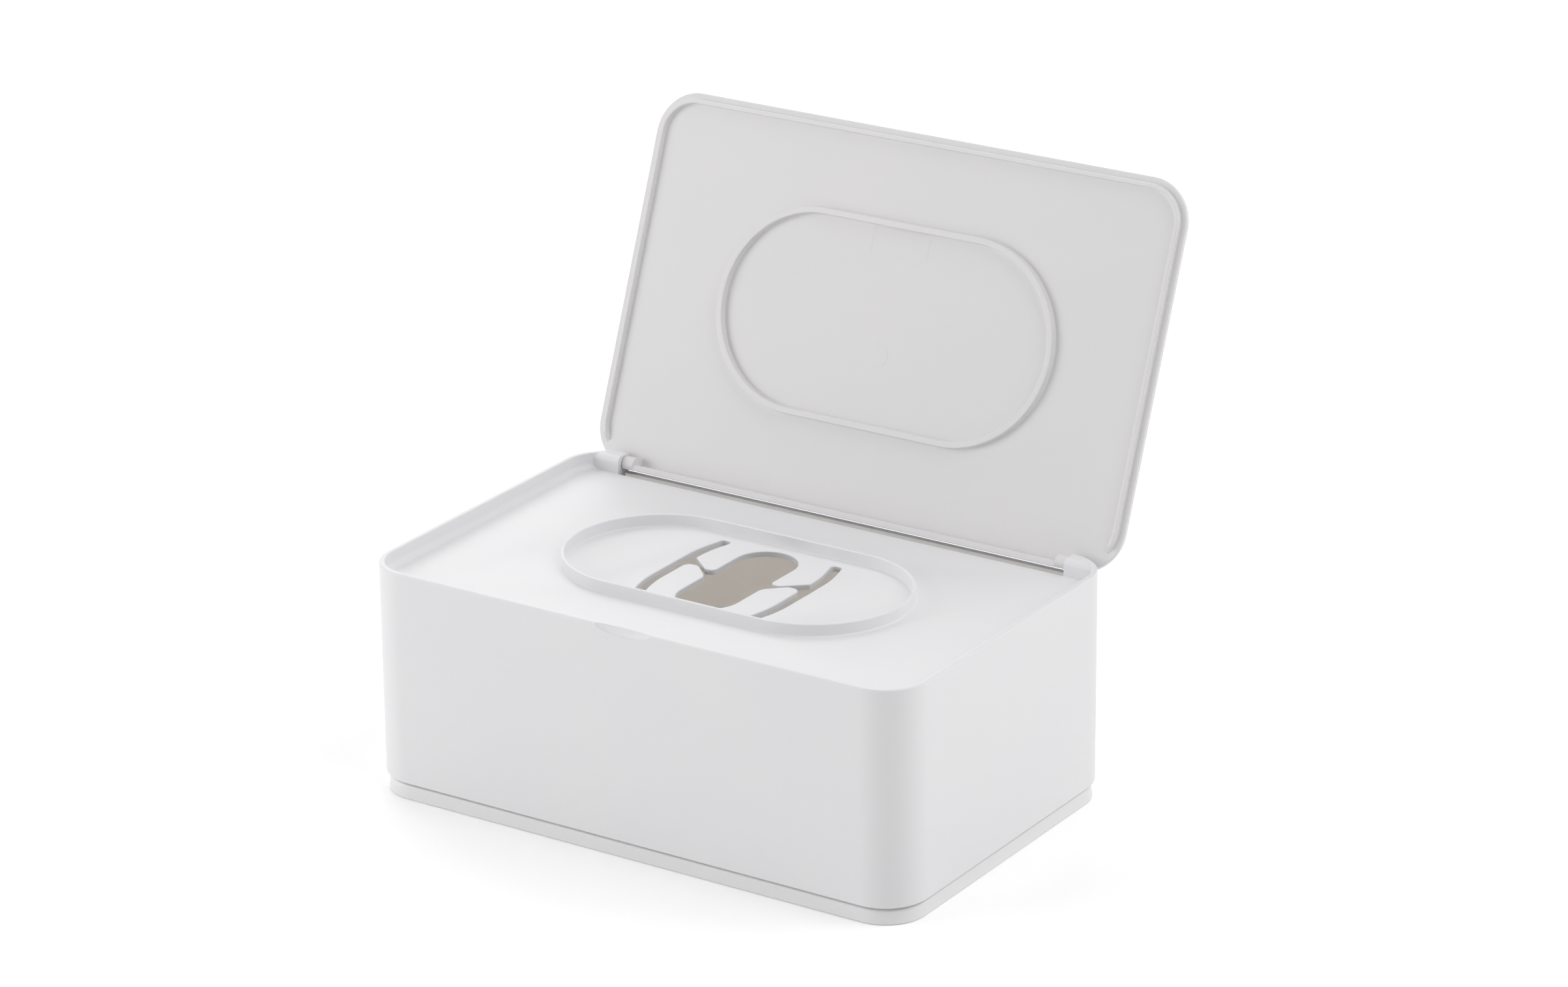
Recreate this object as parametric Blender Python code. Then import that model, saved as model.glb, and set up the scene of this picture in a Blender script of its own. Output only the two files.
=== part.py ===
"""Wet wipes box: a moulded shell over a bottom tray, with a hinged lid that stands open.

The box rests on the table at z = 0, with the middle of its plan at the origin. Its front,
with the thumb scoop, faces -Y, and the lid hinges along the back on two short steel pins.
Every size is in metres.
"""

import math

import bmesh
import bpy

MODEL_NAME = "wet_wipes_box"

# Play that is left between neighbours, and how far a tool runs past what it cuts or joins.
CLEARANCE = 0.0003
OVERRUN = 0.0010

# Outer form, shared by the shell and the lid.
BODY_WIDTH = 0.1900
BODY_DEPTH = 0.1200
CORNER_RADIUS = 0.0140
CORNER_STEPS = 9

# Shell: four walls and a sunk deck in one moulding, open underneath.
SHELL_LIFT = 0.0054
SHELL_HEIGHT = 0.0680
WALL = 0.0020
RIM_WALL = 0.0018
EDGE_ROUND = 0.0006
EDGE_STEPS = 2
DECK_DROP = 0.0051
DECK_THICKNESS = 0.0018
DECK_FILLET = 0.0018
DECK_FILLET_STEPS = 3

# Collar round the dispensing opening.
COLLAR_LENGTH = 0.1150
COLLAR_WIDTH = 0.0600
COLLAR_WALL = 0.0010
COLLAR_HEIGHT = 0.0039
COLLAR_STEPS = 14

# Dispensing opening: a long oval between two side slots, joined so that four tongues are left.
OVAL_HALF_WIDTH = 0.0100
OVAL_HALF_LENGTH = 0.0251
OVAL_STEPS = 8
SLOT_INNER = 0.0204
SLOT_OUTER = 0.02415
SLOT_HALF_LENGTH = 0.0246
SLOT_BEND_START = 0.0140
SLOT_BEND = 0.0026
SLOT_END_ROUND = 0.0014
SLOT_BEND_ROUND = 0.0400
REAR_TONGUE_TIP = 0.0024
REAR_TONGUE_FLAT = 0.0031
REAR_TONGUE_RISE = 0.0060
REAR_TONGUE_ROUND = 0.0017
REAR_TONGUE_HEEL_ROUND = 0.0009
FRONT_TONGUE_TIP = 0.0033
FRONT_TONGUE_FLAT = 0.0043
FRONT_TONGUE_FALL = 0.0059
FRONT_TONGUE_ROUND = 0.0024
FRONT_TONGUE_HEEL_ROUND = 0.0040
TONGUE_STEPS = 4

# Thumb scoop in the front of the rim.
SCOOP_HALF_WIDTH = 0.0100
SCOOP_DEPTH = 0.0012
SCOOP_HEIGHT = 0.0029
SCOOP_SEGMENTS = 24
SCOOP_RINGS = 12

# Hinge: two posts in the shell's rear corners, with a trough between them for the lid's bar.
HINGE_SETBACK = 0.0019
HINGE_DROP = 0.00283
POST_WIDTH = 0.01425
POST_FRONT_SETBACK = 0.0059
POST_ROUND = 0.0020
POST_STEPS = 5
BARREL_STEPS = 8
TROUGH_FRONT_SETBACK = 0.0061
TROUGH_DEPTH = 0.0055
TROUGH_WALL = 0.0016
TROUGH_BACK_WALL = 0.0018
BACK_WALL_DROP = 0.0060

# Lid: a flat plate on the plan of the shell.
LID_OPEN_DEGREES = 111.7
LID_THICKNESS = 0.0023
LID_TOP_ROUND = 0.0010
LID_TOP_ROUND_STEPS = 3
LID_FACE_ROUND = 0.0003
LIP_WALL = 0.0013
LIP_HEIGHT = 0.0017
LIP_LOW_HEIGHT = 0.00015
LIP_FALL_START = 0.0090
LIP_FALL_LENGTH = 0.0040
SEAL_WALL = 0.0019
SEAL_HEIGHT = 0.0021
SNAP_HALF_WIDTH = 0.0070
SNAP_PROUD = 0.0002
SNAP_HEIGHT = 0.0008
BAR_INSET = 0.0001
BAR_THICKNESS = 0.0018
BAR_HEIGHT = 0.0049
KNUCKLE_RADIUS = 0.0023
KNUCKLE_WIDTH = 0.0040
KNUCKLE_STEPS = 12

# Hinge pins, half in a knuckle of the lid and half in a post of the shell.
PIN_RADIUS = 0.0008
PIN_LENGTH = 0.0065
PIN_IN_KNUCKLE = 0.0028
PIN_CHAMFER = 0.0002
PIN_SEGMENTS = 16

# Bottom tray: the foot that shows under the shell, and a spigot that plugs into it.
TRAY_INSET = 0.0008
TRAY_EDGE_ROUND = 0.0006
TRAY_FLOOR = 0.0020
SPIGOT_WALL = 0.0016
SPIGOT_HEIGHT = 0.0100

# Levels and places that follow from the sizes above.
QUARTER_TURN = math.pi / 2
HALF_WIDTH = BODY_WIDTH / 2
HALF_DEPTH = BODY_DEPTH / 2
RIM_TOP = SHELL_LIFT + SHELL_HEIGHT
DECK_TOP = RIM_TOP - DECK_DROP
DECK_UNDERSIDE = DECK_TOP - DECK_THICKNESS
AXIS_Y = HALF_DEPTH - HINGE_SETBACK
AXIS_Z = RIM_TOP - HINGE_DROP
POST_FRONT = HALF_DEPTH - POST_FRONT_SETBACK
TROUGH_FLOOR = DECK_TOP - TROUGH_DEPTH
TROUGH_FRONT = HALF_DEPTH - TROUGH_FRONT_SETBACK
TROUGH_REAR = HALF_DEPTH - TROUGH_BACK_WALL
NOTCH_HALF = HALF_WIDTH - POST_WIDTH
KNUCKLE_END = NOTCH_HALF - CLEARANCE
LID_FACE = HINGE_DROP + CLEARANCE
LID_MIDDLE = -AXIS_Y

# Edges that turn by more than this stay sharp in the shading.
SHARP_DEGREES = 32

# Colours are linear RGB with alpha.
WHITE_PLASTIC = (0.83, 0.83, 0.84, 1.0)
LID_PLASTIC = (0.82, 0.82, 0.83, 1.0)
TRAY_PLASTIC = (0.80, 0.80, 0.81, 1.0)
STEEL = (0.55, 0.56, 0.57, 1.0)


def clear_scene():
    """Remove every object, so that a second run starts empty."""
    for item in list(bpy.data.objects):
        bpy.data.objects.remove(item, do_unlink=True)


def new_collection(name):
    """A collection of that name, linked to the scene and empty."""
    old = bpy.data.collections.get(name)
    if old is not None:
        bpy.data.collections.remove(old)
    collection = bpy.data.collections.new(name)
    bpy.context.scene.collection.children.link(collection)
    return collection


def material(name, colour, roughness, metallic=0.0):
    """A Principled material with one colour, roughness and metallic value."""
    made = bpy.data.materials.new(name)
    made.use_nodes = True
    shader = made.node_tree.nodes["Principled BSDF"]
    shader.inputs["Base Color"].default_value = colour
    shader.inputs["Roughness"].default_value = roughness
    shader.inputs["Metallic"].default_value = metallic
    return made


def mesh_object(name, bm, collection):
    """Turn a bmesh into an object in the collection, with its faces pointing out."""
    bm.normal_update()
    bmesh.ops.recalc_face_normals(bm, faces=bm.faces)
    mesh = bpy.data.meshes.new(name)
    bm.to_mesh(mesh)
    bm.free()
    made = bpy.data.objects.new(name, mesh)
    collection.objects.link(made)
    return made


def as_tool(tool):
    """Mark an object as one that only shapes others."""
    tool.hide_render = True
    tool.display_type = "WIRE"
    return tool


def shape(target, tool, operation):
    """Cut the tool out of the target, join it on, or keep only what both share."""
    modifier = target.modifiers.new(tool.name, "BOOLEAN")
    modifier.operation = operation
    modifier.solver = "EXACT"
    modifier.object = tool


def shading_nodes():
    """A node group that shades smooth, but leaves the edges that turn sharply."""
    group = bpy.data.node_groups.new("smooth_by_angle", "GeometryNodeTree")
    group.is_modifier = True
    for way in ("INPUT", "OUTPUT"):
        group.interface.new_socket("Geometry", in_out=way, socket_type="NodeSocketGeometry")
    entry = group.nodes.new("NodeGroupInput")
    leave = group.nodes.new("NodeGroupOutput")
    all_faces = group.nodes.new("GeometryNodeSetShadeSmooth")
    some_edges = group.nodes.new("GeometryNodeSetShadeSmooth")
    some_edges.domain = "EDGE"
    turn = group.nodes.new("GeometryNodeInputMeshEdgeAngle")
    small = group.nodes.new("FunctionNodeCompare")
    small.operation = "LESS_THAN"
    small.inputs["B"].default_value = math.radians(SHARP_DEGREES)
    group.links.new(turn.outputs["Unsigned Angle"], small.inputs["A"])
    group.links.new(small.outputs["Result"], some_edges.inputs["Shade Smooth"])
    group.links.new(entry.outputs["Geometry"], all_faces.inputs["Geometry"])
    group.links.new(all_faces.outputs["Geometry"], some_edges.inputs["Geometry"])
    group.links.new(some_edges.outputs["Geometry"], leave.inputs["Geometry"])
    return group


def arc(centre, radius, start, sweep, steps):
    """Points on a circular arc, both ends included."""
    points = []
    for step in range(steps + 1):
        angle = start + sweep * step / steps
        x = centre[0] + radius * math.cos(angle)
        y = centre[1] + radius * math.sin(angle)
        points.append((x, y))
    return points


def run_out(points, level):
    """Carry a line on past its end along its last chord, then straight up to the level."""
    (x, y), (last_x, last_y) = points[-2:]
    beyond = (2 * last_x - x, 2 * last_y - y)
    return points + [beyond, (beyond[0], level)]


def rounded_outline(width, depth, radius, steps, middle=(0.0, 0.0)):
    """A rectangle with round corners, anticlockwise; a full end radius makes a stadium."""
    points = []
    reach_x = width / 2 - radius
    reach_y = depth / 2 - radius
    for quarter, (side_x, side_y) in enumerate(((1, 1), (-1, 1), (-1, -1), (1, -1))):
        centre = (middle[0] + side_x * reach_x, middle[1] + side_y * reach_y)
        for point in arc(centre, radius, quarter * QUARTER_TURN, QUARTER_TURN, steps):
            if not points or math.dist(point, points[-1]) > CLEARANCE / 10:
                points.append(point)
    return points


def rounded_polygon(corners):
    """Replace each corner (x, y, radius, steps) by an arc that is tangent to both its sides."""
    points = []
    for index, (x, y, radius, steps) in enumerate(corners):
        if radius == 0:
            points.append((x, y))
            continue
        before = corners[index - 1]
        after = corners[(index + 1) % len(corners)]
        to_before = math.atan2(before[1] - y, before[0] - x)
        to_after = math.atan2(after[1] - y, after[0] - x)
        turn = (to_after - to_before + math.pi) % math.tau - math.pi
        reach = radius / math.sin(abs(turn) / 2)
        bisector = to_before + turn / 2
        centre = (x + reach * math.cos(bisector), y + reach * math.sin(bisector))
        sweep = math.copysign(math.pi - abs(turn), -turn)
        start = to_before - math.copysign(QUARTER_TURN, turn)
        points.extend(arc(centre, radius, start, sweep, steps))
    return points


def prism(name, outlines, low, high, collection, along_x=False):
    """Raise flat outlines (the first is outside, others are holes) from low to high.

    With along_x the outlines are drawn in Y and Z and the prism runs along X.
    """
    curve = bpy.data.curves.new(name, "CURVE")
    curve.dimensions = "2D"
    curve.fill_mode = "BOTH"
    curve.extrude = (high - low) / 2
    for outline in outlines:
        spline = curve.splines.new("POLY")
        spline.points.add(len(outline) - 1)
        for point, (x, y) in zip(spline.points, outline):
            point.co = (x, y, 0.0, 1.0)
        spline.use_cyclic_u = True
    drawn = bpy.data.objects.new(name, curve)
    collection.objects.link(drawn)
    middle = (low + high) / 2
    if along_x:
        drawn.rotation_euler = (QUARTER_TURN, 0.0, QUARTER_TURN)
        drawn.location = (middle, 0.0, 0.0)
    else:
        drawn.location = (0.0, 0.0, middle)
    bpy.context.view_layer.update()
    depsgraph = bpy.context.evaluated_depsgraph_get()
    mesh = bpy.data.meshes.new_from_object(drawn.evaluated_get(depsgraph))
    bm = bmesh.new()
    bm.from_mesh(mesh)
    bm.transform(drawn.matrix_world)
    bmesh.ops.remove_doubles(bm, verts=bm.verts, dist=CLEARANCE / 100)
    bpy.data.objects.remove(drawn, do_unlink=True)
    bpy.data.curves.remove(curve)
    bpy.data.meshes.remove(mesh)
    return mesh_object(name, bm, collection)


def level_edges(bm, height):
    """The edges that lie level at that height."""
    found = []
    for edge in bm.edges:
        if all(abs(vert.co.z - height) < CLEARANCE / 10 for vert in edge.verts):
            found.append(edge)
    return found


def rounded_box(name, size, radius, low, high, collection, middle_y=0.0,
                top=(0.0, 1), bottom=(0.0, 1)):
    """A box from a cube, its upright edges rounded, then its top and bottom edges.

    size is its width and depth; top and bottom each give a radius and a number of steps.
    """
    bm = bmesh.new()
    bmesh.ops.create_cube(bm, size=1)
    for vert in bm.verts:
        vert.co.x *= size[0]
        vert.co.y = vert.co.y * size[1] + middle_y
        vert.co.z = high if vert.co.z > 0 else low
    upright = []
    for edge in bm.edges:
        if edge.verts[0].co.z != edge.verts[1].co.z:
            upright.append(edge)
    if radius > 0:
        bmesh.ops.bevel(bm, geom=upright, offset=radius, segments=CORNER_STEPS,
                        profile=0.5, affect="EDGES")
    for level, (edge_radius, steps) in ((high, top), (low, bottom)):
        if edge_radius > 0:
            bmesh.ops.bevel(bm, geom=level_edges(bm, level), offset=edge_radius,
                            segments=steps, profile=0.5, affect="EDGES")
    return mesh_object(name, bm, collection)


def rod(name, radius, length, segments, collection, chamfer=0.0):
    """A cylinder along X, centred on its own origin, with optional chamfered ends."""
    bm = bmesh.new()
    bmesh.ops.create_cone(bm, cap_ends=True, segments=segments, radius1=radius,
                          radius2=radius, depth=length)
    if chamfer > 0:
        ends = level_edges(bm, length / 2) + level_edges(bm, -length / 2)
        bmesh.ops.bevel(bm, geom=ends, offset=chamfer, segments=1, affect="EDGES")
    for vert in bm.verts:
        vert.co.x, vert.co.z = vert.co.z, -vert.co.x
    return mesh_object(name, bm, collection)


def opening_outline():
    """The dispensing opening: its right half from the back to the front, then the mirror."""
    bend_x = SLOT_INNER - SLOT_BEND
    end_x = SLOT_OUTER - SLOT_BEND
    rear_slope = OVAL_HALF_WIDTH + REAR_TONGUE_FLAT
    rear_heel = REAR_TONGUE_TIP + REAR_TONGUE_RISE
    front_slope = SLOT_INNER - FRONT_TONGUE_FLAT
    front_heel = FRONT_TONGUE_TIP - FRONT_TONGUE_FALL
    slot_end = (SLOT_END_ROUND, TONGUE_STEPS)
    slot_bend = (SLOT_BEND_ROUND, TONGUE_STEPS)
    right = [
        (OVAL_HALF_WIDTH, OVAL_HALF_LENGTH, OVAL_HALF_WIDTH, OVAL_STEPS),
        (OVAL_HALF_WIDTH, REAR_TONGUE_TIP, REAR_TONGUE_ROUND, TONGUE_STEPS),
        (rear_slope, REAR_TONGUE_TIP, REAR_TONGUE_ROUND, TONGUE_STEPS),
        (SLOT_INNER, rear_heel, REAR_TONGUE_HEEL_ROUND, TONGUE_STEPS),
        (SLOT_INNER, SLOT_BEND_START, *slot_bend),
        (bend_x, SLOT_HALF_LENGTH, *slot_end),
        (end_x, SLOT_HALF_LENGTH, *slot_end),
        (SLOT_OUTER, SLOT_BEND_START, *slot_bend),
        (SLOT_OUTER, -SLOT_BEND_START, *slot_bend),
        (end_x, -SLOT_HALF_LENGTH, *slot_end),
        (bend_x, -SLOT_HALF_LENGTH, *slot_end),
        (SLOT_INNER, -SLOT_BEND_START, *slot_bend),
        (SLOT_INNER, FRONT_TONGUE_TIP, FRONT_TONGUE_ROUND, TONGUE_STEPS),
        (front_slope, FRONT_TONGUE_TIP, FRONT_TONGUE_ROUND, TONGUE_STEPS),
        (OVAL_HALF_WIDTH, front_heel, FRONT_TONGUE_HEEL_ROUND, TONGUE_STEPS),
        (OVAL_HALF_WIDTH, -OVAL_HALF_LENGTH, OVAL_HALF_WIDTH, OVAL_STEPS),
    ]
    left = [(-x, y, radius, steps) for x, y, radius, steps in reversed(right)]
    points = []
    for point in rounded_polygon(right + left):
        if not points or math.dist(point, points[-1]) > CLEARANCE / 10:
            points.append(point)
    if math.dist(points[0], points[-1]) < CLEARANCE / 10:
        points.pop()
    return points


def inset_size(inset):
    """Width and depth of the body's outline, drawn in by the inset on every side."""
    return (BODY_WIDTH - 2 * inset, BODY_DEPTH - 2 * inset)


def shell_tools(tools):
    """Everything that cuts the shell or is joined to it, in the order of its use."""
    cavity = rounded_box("shell_cavity", inset_size(WALL), CORNER_RADIUS - WALL,
                         SHELL_LIFT - OVERRUN, DECK_UNDERSIDE, tools)
    housing_half = NOTCH_HALF + TROUGH_WALL
    housing_front = TROUGH_FRONT - TROUGH_WALL
    housing_rear = TROUGH_REAR + OVERRUN
    housing = rounded_box("trough_housing", (2 * housing_half, housing_rear - housing_front), 0,
                          TROUGH_FLOOR - TROUGH_WALL, DECK_UNDERSIDE + OVERRUN, tools,
                          middle_y=(housing_front + housing_rear) / 2)
    recess = rounded_box("rim_recess", inset_size(RIM_WALL), CORNER_RADIUS - RIM_WALL,
                         DECK_TOP, RIM_TOP + OVERRUN, tools,
                         bottom=(DECK_FILLET, DECK_FILLET_STEPS))
    centre = (POST_FRONT + POST_ROUND, RIM_TOP - POST_ROUND)
    post_outline = [(POST_FRONT, DECK_TOP - OVERRUN), (HALF_DEPTH, DECK_TOP - OVERRUN)]
    post_outline += [(HALF_DEPTH, RIM_TOP + 2 * OVERRUN)]
    post_outline += run_out(arc(centre, POST_ROUND, math.pi, -QUARTER_TURN, POST_STEPS),
                            RIM_TOP + 2 * OVERRUN)[::-1]
    posts = prism("hinge_posts", [post_outline], -HALF_WIDTH, HALF_WIDTH, tools, along_x=True)
    shape(recess, as_tool(posts), "DIFFERENCE")
    notch_floor = RIM_TOP - BACK_WALL_DROP
    notch = prism("hinge_notch", [[
        (TROUGH_FRONT, TROUGH_FLOOR), (TROUGH_REAR, TROUGH_FLOOR), (TROUGH_REAR, notch_floor),
        (HALF_DEPTH + OVERRUN, notch_floor), (HALF_DEPTH + OVERRUN, RIM_TOP + OVERRUN),
        (TROUGH_FRONT, RIM_TOP + OVERRUN),
    ]], -NOTCH_HALF, NOTCH_HALF, tools, along_x=True)
    rear_outline = run_out(arc((AXIS_Y, AXIS_Z), HINGE_DROP, 0.0, QUARTER_TURN, BARREL_STEPS),
                           RIM_TOP + OVERRUN)
    rear_outline += [(AXIS_Y + HINGE_DROP, RIM_TOP + OVERRUN)]
    rear_round = prism("rear_edge_round", [rear_outline], -HALF_WIDTH - OVERRUN,
                       HALF_WIDTH + OVERRUN, tools, along_x=True)
    opening = prism("dispensing_opening", [opening_outline()], DECK_UNDERSIDE - OVERRUN,
                    DECK_TOP + OVERRUN, tools)
    collar_inner = (COLLAR_LENGTH - 2 * COLLAR_WALL, COLLAR_WIDTH - 2 * COLLAR_WALL)
    collar = prism("collar", [
        rounded_outline(COLLAR_LENGTH, COLLAR_WIDTH, COLLAR_WIDTH / 2, COLLAR_STEPS),
        rounded_outline(*collar_inner, collar_inner[1] / 2, COLLAR_STEPS),
    ], DECK_TOP - DECK_THICKNESS / 2, DECK_TOP + COLLAR_HEIGHT, tools)
    cuts = [
        (cavity, "DIFFERENCE"), (housing, "UNION"), (recess, "DIFFERENCE"),
        (notch, "DIFFERENCE"), (rear_round, "DIFFERENCE"), (opening, "DIFFERENCE"),
        (collar, "UNION"), (thumb_scoop(tools), "DIFFERENCE"),
    ]
    for side in (-1, 1):
        cuts.append((pin_hole("post_pin_hole", side, tools), "DIFFERENCE"))
    return cuts


def thumb_scoop(tools):
    """A shallow bowl in the top of the front wall, from a stretched sphere."""
    bm = bmesh.new()
    bmesh.ops.create_uvsphere(bm, u_segments=SCOOP_SEGMENTS, v_segments=SCOOP_RINGS, radius=1)
    for vert in bm.verts:
        vert.co.x *= SCOOP_HALF_WIDTH
        vert.co.y = vert.co.y * SCOOP_DEPTH - HALF_DEPTH - CLEARANCE / 3
        vert.co.z = vert.co.z * SCOOP_HEIGHT + RIM_TOP + CLEARANCE / 3
    return mesh_object("thumb_scoop", bm, tools)


def pin_middle(side):
    """X of the middle of a pin, which starts inside the lid's knuckle."""
    return side * (KNUCKLE_END - PIN_IN_KNUCKLE + PIN_LENGTH / 2)


def pin_hole(name, side, tools, centre=(AXIS_Y, AXIS_Z)):
    """A bore for one pin, with play all round it and at both its ends."""
    label = "right" if side > 0 else "left"
    hole = rod(f"{name}_{label}", PIN_RADIUS + CLEARANCE, PIN_LENGTH + 2 * CLEARANCE,
               PIN_SEGMENTS, tools)
    hole.location = (pin_middle(side), *centre)
    return hole


def make_shell(parts, tools):
    """The four walls, the deck with its collar and opening, and the hinge posts."""
    shell = rounded_box("body_shell", inset_size(0.0), CORNER_RADIUS, SHELL_LIFT, RIM_TOP,
                        parts, top=(EDGE_ROUND, EDGE_STEPS), bottom=(EDGE_ROUND, EDGE_STEPS))
    for tool, operation in shell_tools(tools):
        shape(shell, as_tool(tool), operation)
    shell.data.materials.append(material("white_polypropylene", WHITE_PLASTIC, 0.42))
    return shell


def make_lid(parts, tools):
    """The lid, drawn closed with its hinge axis at the origin, then swung open."""
    hinge = bpy.data.objects.new("lid_hinge_axis", None)
    parts.objects.link(hinge)
    hinge.location = (0.0, AXIS_Y, AXIS_Z)
    hinge.rotation_euler = (-math.radians(LID_OPEN_DEGREES), 0.0, 0.0)

    lid = rounded_box("lid", inset_size(0.0), CORNER_RADIUS, LID_FACE,
                      LID_FACE + LID_THICKNESS, parts, middle_y=LID_MIDDLE,
                      top=(LID_TOP_ROUND, LID_TOP_ROUND_STEPS), bottom=(LID_FACE_ROUND, 1))
    lip_inset = RIM_WALL + CLEARANCE
    lip_outlines = []
    for inset in (lip_inset, lip_inset + LIP_WALL):
        lip_outlines.append(rounded_outline(*inset_size(inset), CORNER_RADIUS - inset,
                                            CORNER_STEPS, middle=(0.0, LID_MIDDLE)))
    lip = prism("lid_lip", lip_outlines, LID_FACE - LIP_HEIGHT, LID_FACE + OVERRUN, tools)
    fall_start = HINGE_SETBACK - LIP_FALL_START
    fall_end = fall_start + LIP_FALL_LENGTH
    low = LID_FACE - LIP_HEIGHT - OVERRUN
    lip_fall = prism("lip_fall", [[
        (fall_start, low), (HINGE_SETBACK + OVERRUN, low),
        (HINGE_SETBACK + OVERRUN, LID_FACE - LIP_LOW_HEIGHT),
        (fall_end, LID_FACE - LIP_LOW_HEIGHT), (fall_start, LID_FACE - LIP_HEIGHT),
    ]], -HALF_WIDTH, HALF_WIDTH, tools, along_x=True)
    shape(lip, as_tool(lip_fall), "DIFFERENCE")

    seal_inner = (COLLAR_LENGTH + 2 * CLEARANCE, COLLAR_WIDTH + 2 * CLEARANCE)
    seal_outer = (seal_inner[0] + 2 * SEAL_WALL, seal_inner[1] + 2 * SEAL_WALL)
    seal = prism("seal_rib", [
        rounded_outline(*seal_outer, seal_outer[1] / 2, COLLAR_STEPS, middle=(0.0, LID_MIDDLE)),
        rounded_outline(*seal_inner, seal_inner[1] / 2, COLLAR_STEPS, middle=(0.0, LID_MIDDLE)),
    ], LID_FACE - SEAL_HEIGHT, LID_FACE + OVERRUN, tools)
    snap_face = LID_MIDDLE - seal_inner[1] / 2
    snap_low = LID_FACE - SEAL_HEIGHT + CLEARANCE
    snap = rounded_box("snap_bead", (2 * SNAP_HALF_WIDTH, SEAL_WALL / 2 + SNAP_PROUD), 0,
                       snap_low, snap_low + SNAP_HEIGHT, tools,
                       middle_y=snap_face + (SNAP_PROUD - SEAL_WALL / 2) / 2)

    bar_rear = HINGE_SETBACK - BAR_INSET
    bar_low = LID_FACE - BAR_HEIGHT
    bar = rounded_box("rear_bar", (2 * KNUCKLE_END - KNUCKLE_WIDTH, BAR_THICKNESS), 0, bar_low,
                      LID_FACE + LID_THICKNESS / 2, tools,
                      middle_y=bar_rear - BAR_THICKNESS / 2)
    additions = [lip, seal, snap, bar]
    cuts = []
    for side in (-1, 1):
        additions.append(knuckle(side, bar_rear, bar_low, tools))
        cuts.append(pin_hole("knuckle_pin_hole", side, tools, centre=(0.0, 0.0)))

    for tool in additions:
        shape(lid, as_tool(tool), "UNION")
    for tool in cuts:
        shape(lid, as_tool(tool), "DIFFERENCE")
    for piece in [lid, lip_fall] + additions + cuts:
        piece.parent = hinge
    lid.data.materials.append(material("white_polypropylene_lid", LID_PLASTIC, 0.42))
    return lid


def knuckle(side, bar_rear, bar_low, tools):
    """A knuckle about the hinge axis: round below, and a block up into the plate above."""
    label = "right" if side > 0 else "left"
    meets_bar = math.asin(bar_low / KNUCKLE_RADIUS) + math.tau
    outline = arc((0.0, 0.0), KNUCKLE_RADIUS, math.pi, meets_bar - math.pi, KNUCKLE_STEPS)
    outline += [(bar_rear, bar_low - CLEARANCE / 3), (bar_rear, LID_FACE + LID_THICKNESS / 3)]
    outline += [(-KNUCKLE_RADIUS, LID_FACE + LID_THICKNESS / 3)]
    ends = sorted((side * KNUCKLE_END, side * (KNUCKLE_END - KNUCKLE_WIDTH)))
    return prism(f"knuckle_{label}", [outline], *ends, tools, along_x=True)


def make_tray(parts, tools):
    """The bottom tray: a foot band, a floor, and a spigot that plugs into the shell."""
    band_top = SHELL_LIFT - CLEARANCE
    tray = rounded_box("bottom_tray", inset_size(TRAY_INSET), CORNER_RADIUS - TRAY_INSET, 0.0,
                       band_top, parts, bottom=(TRAY_EDGE_ROUND, EDGE_STEPS))
    spigot_inset = WALL + CLEARANCE
    spigot = rounded_box("tray_spigot", inset_size(spigot_inset), CORNER_RADIUS - spigot_inset,
                         TRAY_FLOOR / 2, band_top + SPIGOT_HEIGHT, tools)
    hollow_inset = spigot_inset + SPIGOT_WALL
    hollow = rounded_box("tray_hollow", inset_size(hollow_inset), CORNER_RADIUS - hollow_inset,
                         TRAY_FLOOR, band_top + SPIGOT_HEIGHT + OVERRUN, tools)
    shape(tray, as_tool(spigot), "UNION")
    shape(tray, as_tool(hollow), "DIFFERENCE")
    tray.data.materials.append(material("white_polypropylene_tray", TRAY_PLASTIC, 0.45))
    return tray


def make_pins(parts):
    """Two steel pins on the hinge axis, one at each end of the lid's bar."""
    steel = material("stainless_steel", STEEL, 0.25, metallic=1.0)
    for side in (-1, 1):
        label = "right" if side > 0 else "left"
        pin = rod(f"hinge_pin_{label}", PIN_RADIUS, PIN_LENGTH, PIN_SEGMENTS, parts,
                  chamfer=PIN_CHAMFER)
        pin.location = (pin_middle(side), AXIS_Y, AXIS_Z)
        pin.data.materials.append(steel)


def main():
    """Build the whole box."""
    clear_scene()
    parts = new_collection(MODEL_NAME)
    tools = new_collection(f"{MODEL_NAME}_cutters")
    make_shell(parts, tools)
    make_lid(parts, tools)
    make_tray(parts, tools)
    make_pins(parts)
    shading = shading_nodes()
    for piece in parts.objects:
        if piece.type == "MESH":
            piece.modifiers.new("smooth_by_angle", "NODES").node_group = shading


main()
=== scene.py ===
# %% [markdown]
# # Dressing a wet wipes box
# The box is a low, white, moulded container for baby wipes. Its lid stands open on two
# short pins, and the deck below it has a collar round the hole that the wipes come out of.
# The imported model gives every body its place. This lesson lays fine surfaces over it,
# gives each plastic and steel piece its finish, and sets up soft studio light.

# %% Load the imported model
import math

import bpy
import numpy as np
from mathutils import Matrix


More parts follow.
